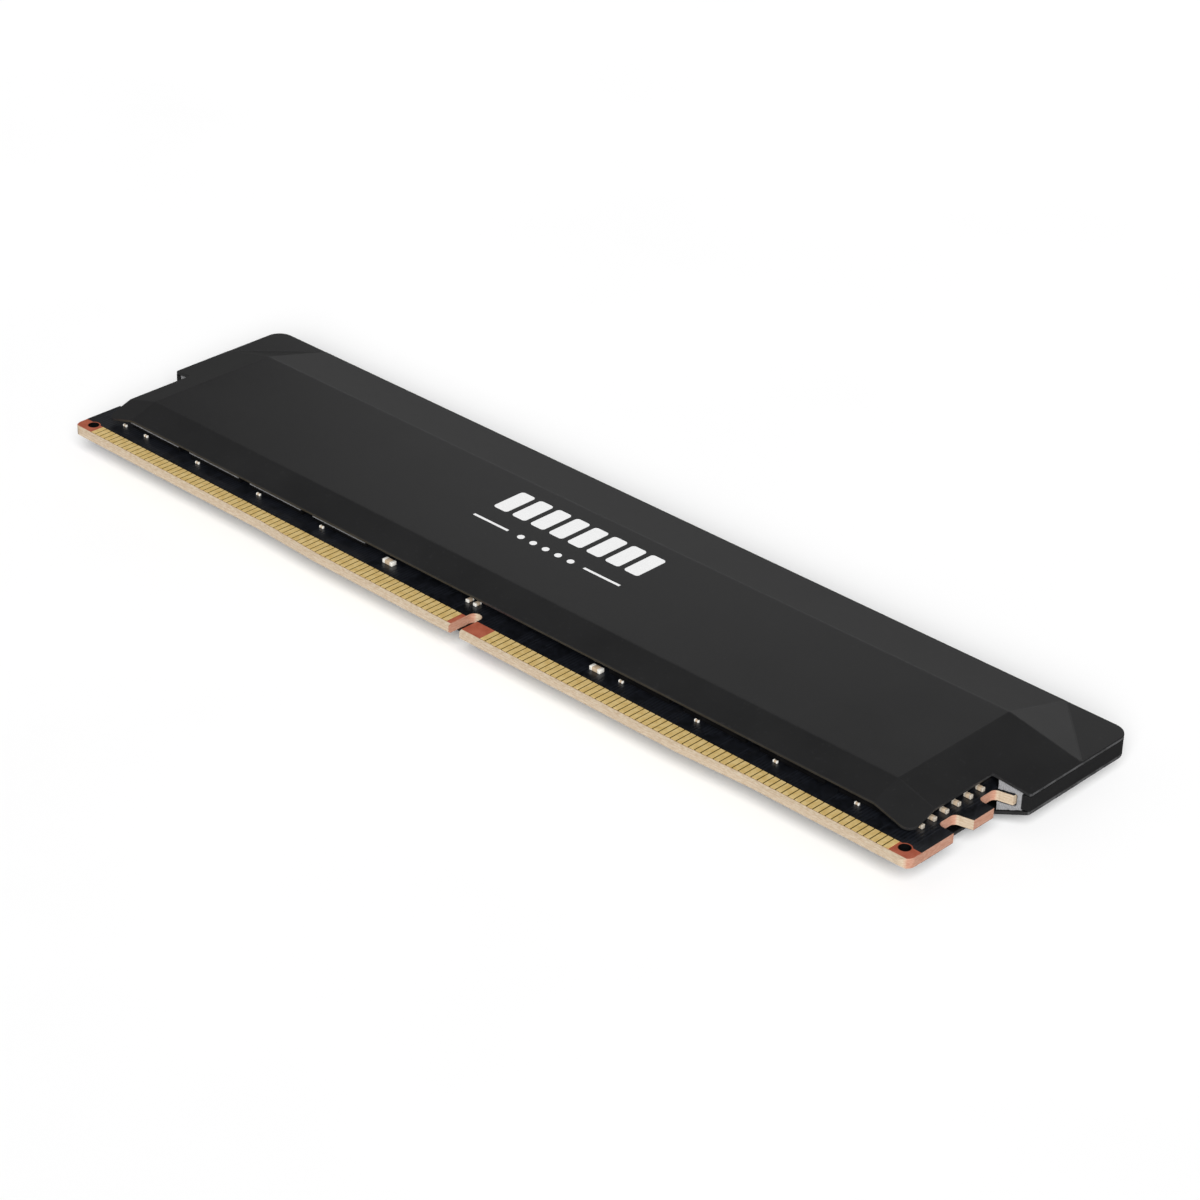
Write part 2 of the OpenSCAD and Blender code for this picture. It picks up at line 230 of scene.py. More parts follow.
def shade_between_contacts(r):
    """1 on the strips between the contacts, where painted shade with a painted reflection of the gold goes,
    0 elsewhere.
    """
    along = r.where(0)
    left = r.remap(along, *LEFT_CONTACTS_END, 1.0, 0.0)
    right = r.remap(along, *RIGHT_CONTACTS_START)
    inner = r.remap(r.math("ABSOLUTE", along), CONTACTS_HALF, CONTACTS_HALF + 0.05, 1.0, 0.0)
    return r.math("MULTIPLY", r.math("MAXIMUM", left, right), inner)


def laminate():
    """Bare board: brick-red faces with a faint weave, pale edges showing the glass layers."""
    r = Recipe("bare_laminate")
    weave = r.math("MULTIPLY", r.waves(0.24, "X", 1.2), r.waves(0.24, "Y", 1.2))
    stain = r.noise(1.1, detail=4.0)
    face = r.mix(r.remap(stain, 0.35, 0.65), (0.305, 0.068, 0.036), (0.385, 0.105, 0.060))
    face = r.mix(r.math("MULTIPLY", weave, 0.25), face, (0.44, 0.17, 0.10))
    # Painted shade, with a painted reflection of the gold: the laminate between the contacts is dark olive.
    face = r.mix(shade_between_contacts(r), face, (0.085, 0.060, 0.014))
    fibres = r.noise(0.10, detail=3.0, stretch=(5, 5, 1))
    front = r.mix(r.remap(fibres, 0.35, 0.65), (0.37, 0.285, 0.195), (0.46, 0.385, 0.290))
    side = r.mix(r.remap(fibres, 0.35, 0.65), (0.32, 0.145, 0.093), (0.42, 0.24, 0.173))
    below_wings = r.remap(r.where(1), WING_Y[0], 0.0, 1.0, 0.0)
    edge = r.mix(r.math("MULTIPLY", r.remap(r.normal(0), 0.45, 0.75), below_wings), front, side)
    layers = r.remap(r.waves(0.30, "Z", 0.4), 0.80, 1.0, 0.0, 0.30)
    edge = r.mix(layers, edge, (0.30, 0.145, 0.08))
    colour = r.mix(r.remap(r.normal(2), 0.90, 0.97), edge, face)
    hole_shade_mask = hole_shade(r)
    # Painted shade: the corner holes' walls are near-black and less glossy, for the shade inside the holes.
    r.give("Base Color", r.mix(hole_shade_mask, colour, (0.003, 0.003, 0.003)))
    r.give("Specular IOR Level", r.math("SUBTRACT", 0.4, r.math("MULTIPLY", hole_shade_mask, 0.35)))
    r.give("Roughness", r.remap(fibres, 0.3, 0.7, 0.42, 0.62))
    r.bump(fibres, 0.30, 0.02)
    return r.material


def solder_mask():
    """Glossy blue-black lacquer over fine copper traces."""
    r = Recipe("solder_mask_lacquer", Specular_IOR_Level=0.5, Coat_Weight=0.15, Coat_Roughness=0.2)
    traces = r.remap(r.waves(0.425, "X", 0.0), 0.55, 0.75)
    broken = r.remap(r.noise(2.2, detail=1.0, stretch=(0.6, 2.5, 1)), 0.47, 0.53)
    copper = r.math("MULTIPLY", traces, broken)
    mottle = r.noise(0.5, detail=4.0)
    colour = r.mix(r.remap(mottle, 0.35, 0.65), (0.0035, 0.0038, 0.0046), (0.0078, 0.0087, 0.0115))
    r.give("Base Color", r.mix(r.math("MULTIPLY", copper, 0.6), colour, (0.014, 0.016, 0.021)))
    r.give("Roughness", r.remap(mottle, 0.3, 0.7, 0.30, 0.44))
    r.bump(copper, 0.5, 0.02)
    return r.material


def gold():
    """Gold plating with wipe marks along the insertion direction."""
    r = Recipe("gold_plating", Metallic=0.35)
    wipes = r.noise(0.09, detail=3.0, stretch=(1, 9, 1))
    tone = r.noise(0.8, detail=2.0)
    colour = r.mix(r.remap(tone, 0.35, 0.65), (0.79, 0.55, 0.20), (0.91, 0.68, 0.30))
    colour = r.mix(r.remap(wipes, 0.60, 0.75, 0.0, 0.35), colour, (0.60, 0.40, 0.13))
    r.give("Base Color", colour)
    r.give("Roughness", r.remap(wipes, 0.3, 0.7, 0.30, 0.46))
    r.bump(wipes, 0.25, 0.01)
    return r.material


def moulding():
    """Black moulding compound with its mineral filler showing as fine specks."""
    r = Recipe("moulding_compound", Specular_IOR_Level=0.15)
    filler = r.noise(0.07, detail=2.0)
    haze = r.noise(2.5)
    colour = r.mix(r.remap(haze, 0.3, 0.7), (0.0030, 0.0030, 0.0034), (0.0055, 0.0055, 0.0060))
    r.give("Base Color", r.mix(r.remap(filler, 0.62, 0.72, 0.0, 0.6), colour, (0.016, 0.016, 0.016)))
    r.give("Roughness", r.remap(filler, 0.3, 0.7, 0.50, 0.68))
    r.bump(filler, 0.4, 0.02)
    return r.material


def capacitor_ceramic():
    r = Recipe("capacitor_ceramic", Specular_IOR_Level=0.5)
    grain = r.noise(0.08, detail=3.0)
    tone = r.noise(0.6)
    colour = r.mix(r.remap(tone, 0.35, 0.65), (0.42, 0.32, 0.22), (0.56, 0.45, 0.33))
    r.give("Base Color", r.mix(r.remap(grain, 0.6, 0.8, 0.0, 0.4), colour, (0.28, 0.20, 0.13)))
    r.give("Roughness", r.remap(grain, 0.3, 0.7, 0.32, 0.48))
    r.bump(grain, 0.3, 0.01)
    return r.material


def tinned_metal(name="tinned_ends", low=(0.80, 0.77, 0.70), high=(0.95, 0.93, 0.88), metallic=0.25):
    """Tinned metal: bright, slightly lumpy, with a warm tarnish in places."""
    r = Recipe(name, Metallic=metallic)
    lumps = r.noise(0.12, detail=3.0)
    r.give("Base Color", r.mix(r.remap(lumps, 0.35, 0.65), low, high))
    r.give("Roughness", r.remap(r.noise(0.3), 0.3, 0.7, 0.22, 0.42))
    r.bump(lumps, 0.4, 0.02)
    return r.material


def resistor_glaze():
    r = Recipe("resistor_glaze", Specular_IOR_Level=0.5)
    colour = r.mix(r.remap(r.noise(0.3), 0.35, 0.65), (0.012, 0.012, 0.016), (0.03, 0.03, 0.038))
    r.give("Base Color", colour)
    r.give("Roughness", r.remap(r.noise(0.2), 0.3, 0.7, 0.2, 0.4))
    r.bump(r.noise(0.15), 0.3, 0.01)
    return r.material


def ferrite():
    """Pressed iron powder."""
    r = Recipe("pressed_ferrite", Metallic=0.35)
    powder = r.noise(0.12, detail=4.0)
    r.give("Base Color", r.mix(r.remap(powder, 0.35, 0.65), (0.06, 0.06, 0.065), (0.13, 0.13, 0.135)))
    r.give("Roughness", r.remap(powder, 0.3, 0.7, 0.55, 0.75))
    r.bump(powder, 0.6, 0.05)
    return r.material


def thermal_pad():
    """Filled silicone: matt grey, faintly dimpled and streaked."""
    r = Recipe("filled_silicone", Specular_IOR_Level=0.3)
    dimples = r.noise(0.35, detail=4.0)
    colour = r.mix(r.remap(dimples, 0.35, 0.65), (0.16, 0.16, 0.165), (0.26, 0.26, 0.27))
    r.give("Base Color", r.mix(r.remap(r.cells(0.25), 0.0, 0.12, 0.5, 0.0), colour, (0.32, 0.32, 0.33)))
    r.give("Roughness", r.remap(dimples, 0.3, 0.7, 0.6, 0.8))
    r.bump(dimples, 0.5, 0.05)
    return r.material


def foam():
    """Open-cell grey foam."""
    r = Recipe("open_cell_foam", Specular_IOR_Level=0.2)
    cells = r.cells(0.16)
    walls = r.cells(0.16, "DISTANCE_TO_EDGE")
    tone = r.noise(0.9, detail=3.0)
    colour = r.mix(r.remap(tone, 0.35, 0.65), (0.125, 0.125, 0.130), (0.19, 0.19, 0.195))
    r.give("Base Color", r.mix(r.remap(walls, 0.0, 0.10, 0.0, 0.55), (0.24, 0.24, 0.245), colour))
    r.give("Roughness", r.remap(tone, 0.3, 0.7, 0.80, 0.95))
    r.bump(cells, 0.8, 0.06)
    return r.material


def label_paper():
    """White label with a thin printed border and faint fibres."""
    r = Recipe("label_paper", Specular_IOR_Level=0.45)
    fibres = r.noise(0.20, detail=4.0, stretch=(4, 1, 1))
    shade = r.mix(r.remap(fibres, 0.3, 0.7), (0.66, 0.66, 0.65), (0.76, 0.76, 0.75))
    centre_y = sum(box_mm("blank_label")[i].y for i in (0, 1)) / 2
    across = r.math("DIVIDE", r.math("ABSOLUTE", r.where(0)), LABEL_HALF[0] - LABEL_MARGIN)
    rise = r.math("ABSOLUTE", r.math("SUBTRACT", r.where(1), centre_y))
    along = r.math("DIVIDE", rise, LABEL_HALF[1] - LABEL_MARGIN)
    border = r.math("MAXIMUM", r.math("POWER", across, 4.0), along)
    line = r.math("MULTIPLY", r.remap(along, 0.955, 0.965), r.remap(along, 0.995, 1.005, 1.0, 0.0))
    line = r.math("MULTIPLY", line, r.remap(across, 0.990, 0.995, 1.0, 0.0))
    ends = r.math("MULTIPLY", r.remap(across, 0.988, 0.991), r.remap(across, 0.996, 0.999, 1.0, 0.0))
    ends = r.math("MULTIPLY", ends, r.remap(border, 0.99, 1.0, 1.0, 0.0))
    ink = r.math("MAXIMUM", line, ends)
    r.give("Base Color", r.mix(r.math("MULTIPLY", ink, 0.85), shade, (0.05, 0.05, 0.05)))
    r.give("Roughness", r.remap(fibres, 0.3, 0.7, 0.35, 0.55))
    r.bump(fibres, 0.2, 0.01)
    return r.material


def white_ink():
    r = Recipe("white_ink", Specular_IOR_Level=0.4)
    grain = r.noise(0.12, detail=3.0)
    r.give("Base Color", r.mix(r.remap(grain, 0.3, 0.75), (0.90, 0.90, 0.90), (0.78, 0.78, 0.78)))
    r.give("Roughness", r.remap(grain, 0.3, 0.7, 0.42, 0.60))
    r.bump(grain, 0.3, 0.01)
    return r.material


def floor_card():
    r = Recipe("floor_card", Specular_IOR_Level=0.1)
    r.give("Base Color", r.mix(r.remap(r.noise(60.0), 0.3, 0.7), (0.93, 0.93, 0.93), (0.95, 0.95, 0.95)))
    r.give("Roughness", r.remap(r.noise(5.0), 0.3, 0.7, 0.85, 0.95))
    return r.material


# ---------------------------------------------------------------- piece helpers

def piece(name, mesh, material, slot, *replaced, flat_above=2.0):
    """A new visible piece that stands for CAD nodes.

    Faces that point up or down by more than flat_above are shaded flat, the others smooth.
    """
    obj = bpy.data.objects.new(name, mesh)
    bpy.context.scene.collection.objects.link(obj)
    mesh.materials.clear()
    mesh.materials.append(material)
    for face in mesh.polygons:
        face.use_smooth = abs(face.normal.z) < flat_above
    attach(obj, "root")
    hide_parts(*replaced)
    return obj


def dress(node, material, rounding=0.0, segments=2):
    """Gives a CAD node its material, and rounds its sharp edges with a modifier."""
    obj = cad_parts[node]
    obj.data.materials.clear()
    obj.data.materials.append(material)
    if rounding:
        bevel = obj.modifiers.new("rounding", "BEVEL")
        bevel.width = rounding * MM
        bevel.segments = segments
        bevel.limit_method = "ANGLE"
        bevel.angle_limit = math.radians(40)
        bevel.harden_normals = True


def mesh_from(name, verts, faces):
    mesh = bpy.data.meshes.new(name)
    mesh.from_pydata([Vector(v) * MM for v in verts], [], faces)
    mesh.validate()
    mesh.update()
    return mesh


# ---------------------------------------------------------------- covers

OUTLINE_SPACING = 0.6
GRID_MARGIN = SHEET_EDGE_R + 0.12
LABEL_WALL_HALF = 0.02
LABEL_CLEARANCE = 0.1
EDGE_STEPS = 4
# Painted highlight, partly real wear: the creases are lightened a little, the sheet's cut edge fully within
# a band at the wing sides, which face the light, and faintly elsewhere.
CREASE_WEAR_AND_HIGHLIGHT = 0.08
FAINT_WEAR_AND_HIGHLIGHT = 0.15
WING_HIGHLIGHT_BAND = 0.2
SHEET_FLAT_ABOVE = 0.9

# The sheet's grid in (start, stop, spacing) stretches, fine where the creases are.
GRID_X = ((1.5, 57.5, 3.0), (57.5, 61.0, 0.2), (61.0, WING_X, 0.3))
GRID_Y = ((LIP_Y, -11.4, 0.5), (-11.4, -9.6, 0.15), (-9.6, 7.3, 1.2), (7.3, 9.4, 0.15), (9.4, CREST_Y, 0.3))


def soft_min(a, b):
    """The smaller of two heights, blended where they are nearly equal, so a crease is round."""
    overlap = max(CREASE - abs(a - b), 0.0) / CREASE
    return min(a, b) - overlap * overlap * CREASE / 4


SIDE_SLOPE = (PLATEAU_H - LEDGE_H) / (WING_X - PLATEAU_X)
CREST_SLOPE = (PLATEAU_H - LEDGE_H) / (CREST_Y - PLATEAU_Y[1])
LIP_SLOPE = (PLATEAU_H - LIP_H) / (PLATEAU_Y[0] - LIP_Y)


def corner_slopes():
    """Slopes of the plane from the plateau's upper corner down to the two ledge points."""
    (ax, ay), (bx, by) = CORNER_AT
    ax, ay, bx, by = ax - PLATEAU_X, ay - PLATEAU_Y[1], bx - PLATEAU_X, by - PLATEAU_Y[1]
    drop = PLATEAU_H - LEDGE_H
    det = ax * by - bx * ay
    return drop * (by - ay) / det, drop * (ax - bx) / det


CORNER_SLOPE = corner_slopes()


def cover_height(x, y):
    """Height of a cover's outer face over the board's mid-plane, and how near a crease it is."""
    out = abs(x) - PLATEAU_X
    up = y - PLATEAU_Y[1]
    down = PLATEAU_Y[0] - y
    drops = [0.0, SIDE_SLOPE * out, CREST_SLOPE * up, LIP_SLOPE * down,
             CORNER_SLOPE[0] * out + CORNER_SLOPE[1] * up, SIDE_SLOPE * out + LIP_SLOPE * down]
    sharp = PLATEAU_H - max(drops)
    height = PLATEAU_H
    for drop in drops[1:]:
        height = soft_min(height, PLATEAU_H - drop)
    crease = min(1.0, 4 * (sharp - height) / CREASE)
    return -soft_min(-height, -LEDGE_H), crease


def fillet(before, corner, after, radius, steps=8):
    """Points of the arc that rounds a corner of an outline."""
    a = (before - corner).normalized()
    b = (after - corner).normalized()
    half = a.angle(b) / 2
    centre = corner + (a + b).normalized() * radius / math.sin(half)
    start = corner + a * radius / math.tan(half) - centre
    turn = math.pi - 2 * half
    if a.x * b.y - a.y * b.x > 0:
        turn = -turn
    return [centre + Matrix.Rotation(turn * i / steps, 2) @ start for i in range(steps + 1)]


def rounded_outline(corners, spacing):
    """A closed outline through (x, y, radius) corners, with points at most spacing apart."""
    points = [Vector(c[:2]) for c in corners]
    bends = []
    for i, corner in enumerate(corners):
        bends.append(fillet(points[i - 1], points[i], points[(i + 1) % len(points)], corner[2]))
    outline = []
    for i, bend in enumerate(bends):
        outline += bend
        ahead = bends[(i + 1) % len(bends)][0]
        run = ahead - bend[-1]
        count = int(run.length / spacing)
        outline += [bend[-1] + run * k / (count + 1) for k in range(1, count + 1)]
    return outline


def inset_of(outline, distance):
    """The outline moved inwards; it runs anticlockwise."""
    moved = []
    for i, point in enumerate(outline):
        along = (outline[(i + 1) % len(outline)] - outline[i - 1]).normalized()
        moved.append(point + Vector((-along.y, along.x)) * distance)
    return moved


def cover_outline():
    right = [
        (WAIST_X, LIP_Y, LIP_R),
        (WAIST_X, WING_Y[0], NECK_R),
        (WING_X, WING_Y[1], WING_R),
        (WING_X, CREST_Y, CREST_R),
    ]
    left = [(-x, y, r) for x, y, r in reversed(right)]
    return rounded_outline(right + left, OUTLINE_SPACING)


def steps(*stretches):
    """Places along an axis from (start, stop, spacing) stretches."""
    places = []
    for start, stop, spacing in stretches:
        count = round((stop - start) / spacing)
        places += [start + (stop - start) * i / count for i in range(count)]
    return places


def inside_cover(x, y, margin):
    ax = abs(x)
    wing_edge = WING_Y[0] + (ax - WAIST_X) * (WING_Y[1] - WING_Y[0]) / (WING_X - WAIST_X)
    if ax > WAIST_X - margin and y < wing_edge + margin:
        return False
    for radius, corner_x, corner_y, side in ((CREST_R, WING_X, CREST_Y, 1), (LIP_R, WAIST_X, LIP_Y, -1)):
        dx = ax - (corner_x - radius)
        dy = side * (y - corner_y) + radius
        if dx > 0 and dy > 0 and side * y > 0:
            return math.hypot(dx, dy) < radius - margin
    return ax < WING_X - margin and LIP_Y + margin < y < CREST_Y - margin


def label_distance(x, y):
    """Distance outside the label's recess, negative inside it."""
    dx = abs(x) - LABEL_HALF[0] + LABEL_R
    dy = abs(y) - LABEL_HALF[1] + LABEL_R
    return math.hypot(max(dx, 0), max(dy, 0)) + min(max(dx, dy), 0) - LABEL_R


def label_rings():
    """Points on both sides of the recess's rim, so that its wall is steep."""
    signs = ((1, -1), (1, 1), (-1, 1), (-1, -1))
    ring = rounded_outline([(sx * LABEL_HALF[0], sy * LABEL_HALF[1], LABEL_R) for sx, sy in signs], 1.0)
    return inset_of(ring, LABEL_WALL_HALF) + inset_of(ring, -LABEL_WALL_HALF)


def cover_mesh(name, side):
    """One pressed sheet: side is 1 for the front cover and -1 for the back one, which holds the label."""
    outline = cover_outline()
    border = inset_of(outline, SHEET_EDGE_R)
    grid_x = [s * x for x in steps(*GRID_X) for s in (-1, 1)]
    grid_y = steps(*GRID_Y)
    spots = [Vector((x, y)) for x in grid_x for y in grid_y if inside_cover(x, y, GRID_MARGIN)]
    if side < 0:
        spots = [p for p in spots if abs(label_distance(p.x, p.y)) > LABEL_CLEARANCE] + label_rings()
    count = len(border)
    ring = [(i, (i + 1) % count) for i in range(count)]
    flat, _, triangles, origin, _, _ = delaunay_2d_cdt(border + spots, ring, [], 1, 1e-5)
    index = {old: new for new, olds in enumerate(origin) for old in olds}

    verts, wear_and_highlight = [], []

    def put(point, x, y, drop, worn_and_lit):
        height = cover_height(x, y)[0]
        if side < 0 and label_distance(x, y) < 0 and drop == 0:
            height -= LABEL_RECESS
        verts.append((point.x, point.y, MID_Z + side * (height - drop)))
        wear_and_highlight.append(worn_and_lit)

    for p in flat:
        # Painted highlight, partly real wear: the outer face is lightened a little along the creases.
        put(p, p.x, p.y, 0.0, CREASE_WEAR_AND_HIGHLIGHT * cover_height(p.x, p.y)[1])
    for p in flat:
        put(p, p.x, p.y, SHEET_T, 0.0)
    faces = [tuple(t) for t in triangles] + [tuple(len(flat) + i for i in reversed(t)) for t in triangles]

    bends = [math.pi / 2 * i / EDGE_STEPS for i in range(1, EDGE_STEPS + 1)]
    profile = [(SHEET_EDGE_R * (1 - math.sin(a)), SHEET_EDGE_R * (1 - math.cos(a))) for a in bends]
    profile += [(inset, SHEET_T - drop) for inset, drop in reversed(profile)]
    rows = [[index[i] for i in range(count)]]
    for inset, drop in profile:
        rows.append([len(verts) + i for i in range(count)])
        # Painted highlight, partly real wear: the cut edge is lightened below its top rounding, fully near
        # the wing sides, which catch the light, and faintly elsewhere.
        worn_and_lit = min(1.0, max(0.0, 3 * drop / SHEET_EDGE_R - 2))
        for point, rim in zip(inset_of(outline, inset), border):
            highlight_share = 1.0 if abs(rim.x) > WING_X - WING_HIGHLIGHT_BAND else FAINT_WEAR_AND_HIGHLIGHT
            put(point, rim.x, rim.y, drop, highlight_share * worn_and_lit)
    rows.append([len(flat) + i for i in rows[0]])
    for upper, lower in zip(rows, rows[1:]):
        faces += [(upper[i], lower[i], lower[j], upper[j]) for i, j in ring]
    if side < 0:
        faces = [tuple(reversed(f)) for f in faces]
    mesh = mesh_from(name, verts, faces)
    mesh.attributes.new("wear_and_highlight", "FLOAT", "POINT").data.foreach_set("value", wear_and_highlight)
    return mesh


# ---------------------------------------------------------------- small parts

def add_block(bm, centre, size, rounding):
    """A block with rounded edges."""
    place = Matrix.Translation(centre) @ Matrix.Diagonal((*size, 1.0))
    made = bmesh.ops.create_cube(bm, size=1.0, matrix=place)
    edges = list({e for v in made["verts"] for e in v.link_edges})
    bmesh.ops.bevel(bm, geom=edges, offset=rounding, segments=3, profile=0.5, affect="EDGES")


def finished(bm, name):
    bmesh.ops.recalc_face_normals(bm, faces=bm.faces)
    bmesh.ops.scale(bm, vec=(MM,) * 3, verts=bm.verts)
    mesh = bpy.data.meshes.new(name)
    bm.to_mesh(mesh)
    bm.free()
    return mesh


def solids_of(node):
    """The box of each separate solid in a CAD node, in millimetres."""
    bm = bmesh.new()
    bm.from_mesh(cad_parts[node].data)
    bmesh.ops.remove_doubles(bm, verts=bm.verts, dist=1e-7)
    left = set(bm.verts)
    boxes = []
    while left:
        front = [left.pop()]
        group = []
        while front:
            vertex = front.pop()
            group.append(vertex.co / MM)
            for edge in vertex.link_edges:
                other = edge.other_vert(vertex)
                if other in left:
                    left.remove(other)
                    front.append(other)
        boxes.append([Vector(f(v[i] for v in group) for i in range(3)) for f in (min, max)])
    bm.free()
    return sorted(boxes, key=lambda b: (round(b[0].x, 3), round(b[0].y, 3)))


END_SHARE = 0.26
END_COVER = 0.8
END_ROUNDING = 0.07
BODY_INSET = 0.05
BODY_ROUNDING = 0.03
BALL_SIDES = 10
BALL_RINGS = 5
BALL_FOOT = 0.72
FOAM_VOXEL = 0.11
FOAM_SINK = 0.02
FOAM_DENT = 0.07


def capacitors(node, ceramic, metal, slot):
    """Ceramic bodies in place of plain blocks, with a tinned end at each end of the longer side."""
    bodies, ends = bmesh.new(), bmesh.new()
    for low, high in solids_of(node):
        size = high - low
        centre = (low + high) / 2
        long = 0 if size.x >= size.y else 1
        shrink = Vector((BODY_INSET,) * 3)
        shrink[long] = 2 * size[long] * END_SHARE * END_COVER
        add_block(bodies, centre, size - shrink, BODY_ROUNDING)
        end = Vector(size)
        end[long] = size[long] * END_SHARE
        for sign in (-1, 1):
            at = Vector(centre)
            at[long] += sign * (size[long] - end[long]) / 2
            add_block(ends, at, end, min(END_ROUNDING, end[long] * 0.3))
    piece(node + ".bodies", finished(bodies, node + ".bodies"), ceramic, slot, node)
    piece(node + ".ends", finished(ends, node + ".ends"), metal, "capacitor_ends", node)


def solder_balls(material):
    """Barrel-shaped balls, squeezed between each package and the board."""
    bm = bmesh.new()
    for low, high in solids_of("solder_balls"):
        centre = (low + high) / 2
        radius = (high.x - low.x) / 2
        height = high.z - low.z
        rings = []
        for k in range(BALL_RINGS):
            lift = k / (BALL_RINGS - 1) - 0.5
            wide = radius * (BALL_FOOT + (1 - BALL_FOOT) * math.cos(math.pi * lift))
            turn = [math.tau * i / BALL_SIDES for i in range(BALL_SIDES)]
            rings.append([bm.verts.new((centre.x + wide * math.cos(a), centre.y + wide * math.sin(a),
                                        centre.z + lift * height)) for a in turn])
        for a, b in zip(rings, rings[1:]):
            for i in range(BALL_SIDES):
                j = (i + 1) % BALL_SIDES
                bm.faces.new((a[i], a[j], b[j], b[i]))
        bm.faces.new(reversed(rings[0]))
        bm.faces.new(rings[-1])
    piece("solder_balls.barrels", finished(bm, "solder_barrels"), material, "solder", "solder_balls")


def foam_block(node, material):
    """The foam pad with a softened, uneven skin."""
    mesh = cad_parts[node].data.copy()
    obj = piece(node + ".foam", mesh, material, "foam", node)
    remesh = obj.modifiers.new("skin", "REMESH")
    remesh.mode = "VOXEL"
    remesh.voxel_size = FOAM_VOXEL * MM
    graph = bpy.context.evaluated_depsgraph_get()
    skin = bpy.data.meshes.new_from_object(obj.evaluated_get(graph))
    obj.modifiers.clear()
    obj.data = skin
    normals = [v.normal.copy() for v in skin.vertices]
    for vertex, normal in zip(skin.vertices, normals):
        at = vertex.co / MM
        dent = 0.5 + 0.5 * noise.noise(at * 2.2) + 0.35 * noise.noise(at * 6.0)
        vertex.co = vertex.co - normal * MM * (FOAM_SINK + FOAM_DENT * dent)
    for face in skin.polygons:
        face.use_smooth = True


# ---------------------------------------------------------------- stage

def aim(obj, location, target, roll=0.0):
    """Points a light or camera at a target, rolled about its own axis; places in millimetres."""
    back = (Vector(location) - Vector(target)).normalized()
    right = Vector((0, 0, 1)).cross(back).normalized()
    up = back.cross(right)
    turn = Matrix((right, up, back)).transposed()
    rolled = turn @ Matrix.Rotation(roll, 3, "Z")
    obj.matrix_world = Matrix.Translation(Vector(location) * MM) @ rolled.to_4x4()


def direction(azimuth, elevation):
    """Unit vector at an azimuth counted from -Y towards +X, and an elevation, both in degrees."""
    a, e = math.radians(azimuth), math.radians(elevation)
    return Vector((math.sin(a) * math.cos(e), -math.cos(a) * math.cos(e), math.sin(e)))


CAMERA_TARGET = Vector((8.71, -1.92, 4.71))
CAMERA_DISTANCE = 385.14
CAMERA_ANGLES = (42.708, 29.857)
CAMERA_ROLL = 1.873
CAMERA_LENS = 101.363


def make_camera():
    data = bpy.data.cameras.new("camera")
    data.lens = CAMERA_LENS
    data.sensor_width = 36.0
    data.clip_start = 0.01
    obj = bpy.data.objects.new("camera", data)
    bpy.context.scene.collection.objects.link(obj)
    place = CAMERA_TARGET + direction(*CAMERA_ANGLES) * CAMERA_DISTANCE
    aim(obj, place, CAMERA_TARGET, math.radians(CAMERA_ROLL))
    bpy.context.scene.camera = obj


def make_light(name, kind, azimuth, elevation, distance, energy, mirrored=True, **settings):
    """A light aimed at the origin; one that isn't mirrored stays out of reflections."""
    data = bpy.data.lights.new(name, kind)
    data.energy = energy
    for key, value in settings.items():
        setattr(data, key, value)
    obj = bpy.data.objects.new(name, data)
    obj.visible_glossy = mirrored
    bpy.context.scene.collection.objects.link(obj)
    aim(obj, direction(azimuth, elevation) * distance, (0, 0, 0))


WORLD_LIGHT = 0.11
KEY_LIGHT = 5.5
BACK_LIGHT = 0.31
FLOOR_HALF = 2.5
FLOOR_DROP = 0.02
KEY_FROM = (42, 33, 500)
BACK_FROM = (207, 20.5, 900)


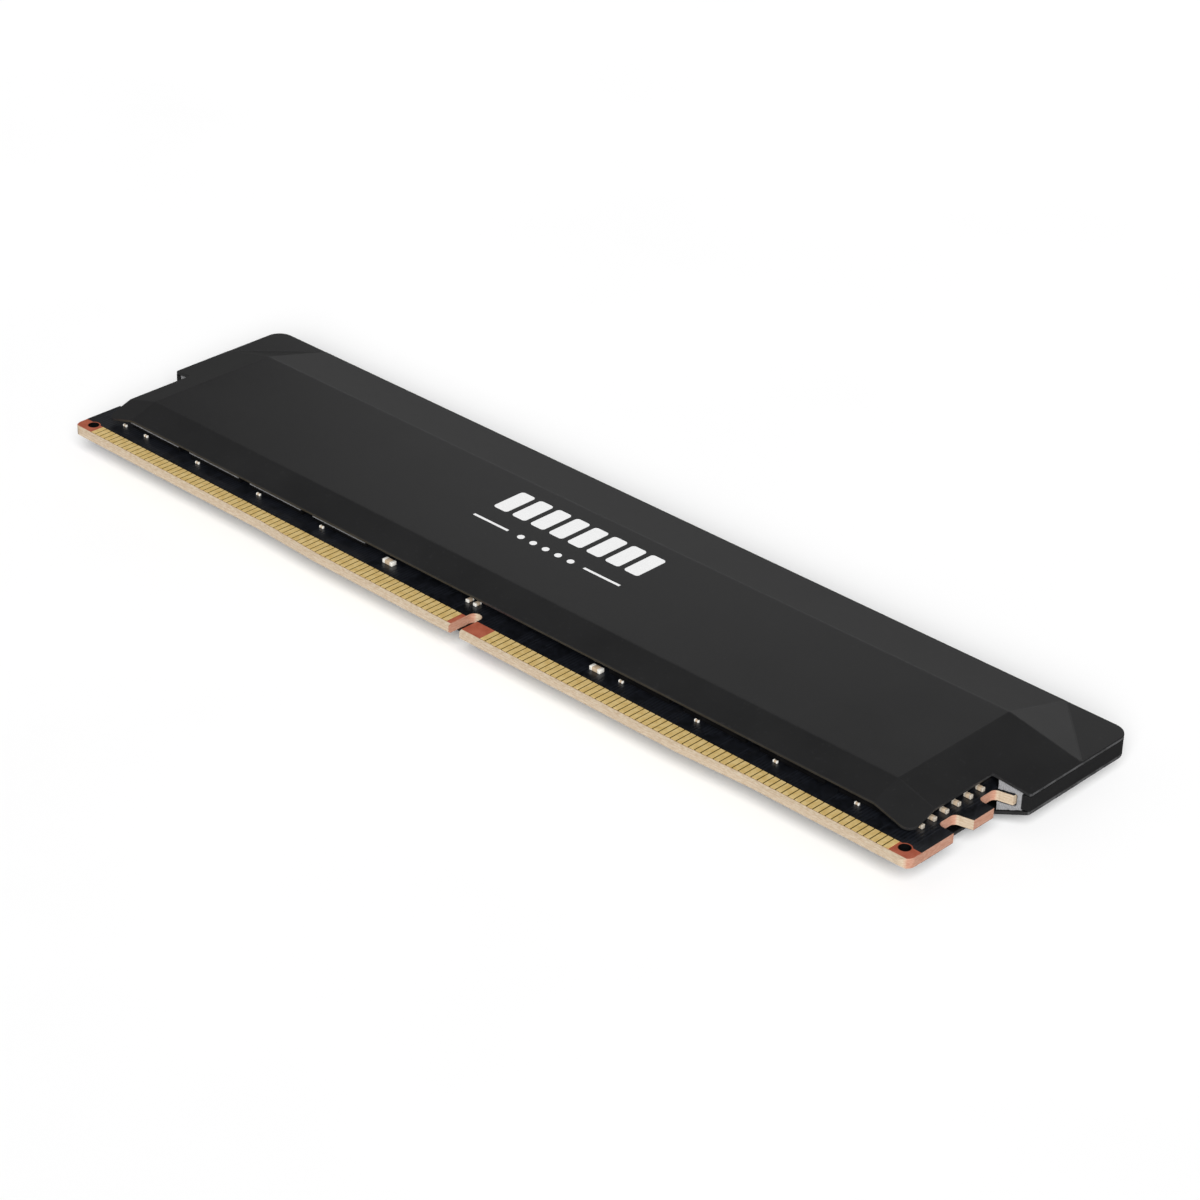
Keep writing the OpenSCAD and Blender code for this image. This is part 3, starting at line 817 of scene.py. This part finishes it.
def make_stage():
    mesh = bpy.data.meshes.new("floor")
    h = FLOOR_HALF
    z = -FLOOR_DROP * MM
    mesh.from_pydata([(-h, -h, z), (h, -h, z), (h, h, z), (-h, h, z)], [], [(0, 1, 2, 3)])
    mesh.materials.append(floor_card())
    floor = bpy.data.objects.new("floor", mesh)
    bpy.context.scene.collection.objects.link(floor)
    floor.visible_glossy = False
    world = bpy.data.worlds.new("studio")
    world.use_nodes = True
    background = world.node_tree.nodes["Background"]
    background.inputs["Color"].default_value = (1.0, 1.0, 1.0, 1.0)
    background.inputs["Strength"].default_value = WORLD_LIGHT
    bpy.context.scene.world = world
    bpy.context.scene.view_settings.view_transform = "Standard"
    make_light("key", "SUN", *KEY_FROM, KEY_LIGHT, mirrored=False, angle=math.radians(40))
    make_light("back_softbox", "AREA", *BACK_FROM, BACK_LIGHT, shape="RECTANGLE", size=0.7, size_y=0.35)


# ---------------------------------------------------------------- the object

def dress_nodes():
    """Materials for the CAD nodes that keep their own shape."""
    mask, plating, compound, pad = solder_mask(), gold(), moulding(), thermal_pad()
    frame_paint = cover_paint("frame_paint", 0.0105, 0.38, 0.2)
    dress("laminate_board", laminate(), 0.05)
    for side in ("front", "back"):
        dress("solder_mask_" + side, mask)
        for half in ("left", "right"):
            dress(f"contacts_{side}_{half}", plating, 0.015)
    for i in range(1, 9):
        dress(f"memory_chip_{i}", compound, 0.05)
    dress("power_chip", compound, 0.05)
    dress("hub_chip", compound, 0.04)
    dress("power_inductors", ferrite(), 0.25, 3)
    dress("resistors", resistor_glaze(), 0.04)
    for node in ("thermal_pads_left", "thermal_pads_right", "thermal_pad_power", "thermal_pad_back"):
        dress(node, pad, 0.12, 3)
    dress("edge_frame", frame_paint, 0.22, 4)
    dress("blank_label", label_paper(), 0.02)
    dress("printed_mark", white_ink())


def build_pieces():
    paint = cover_paint()
    for cover, side in (("cover_front", 1), ("cover_back", -1)):
        sheet = cover_mesh(cover + "_sheet", side)
        piece(cover + ".sheet", sheet, paint, "cover_metal", cover, flat_above=SHEET_FLAT_ABOVE)
    ceramic = capacitor_ceramic()
    # A darker, warmer copy of the tinned metal, for the ends of the bulk, side and decoupling capacitors.
    darker_tin = tinned_metal("darker_tin_ends", (0.40, 0.35, 0.28), (0.66, 0.60, 0.52))
    for node in ("bulk_capacitors", "side_capacitors", "decoupling_capacitors"):
        capacitors(node, ceramic, darker_tin, "ceramic_capacitor")
    for node in ("front_capacitors", "marker_capacitors"):
        capacitors(node, ceramic, tinned_metal(node + "_ends"), "ceramic_capacitor")
    solder_balls(tinned_metal("solder", (0.55, 0.55, 0.56), (0.75, 0.75, 0.76), 1.0))
    foam_material = foam()
    for side in ("left", "right"):
        foam_block("foam_pad_" + side, foam_material)


make_camera()
make_stage()
dress_nodes()
build_pieces()
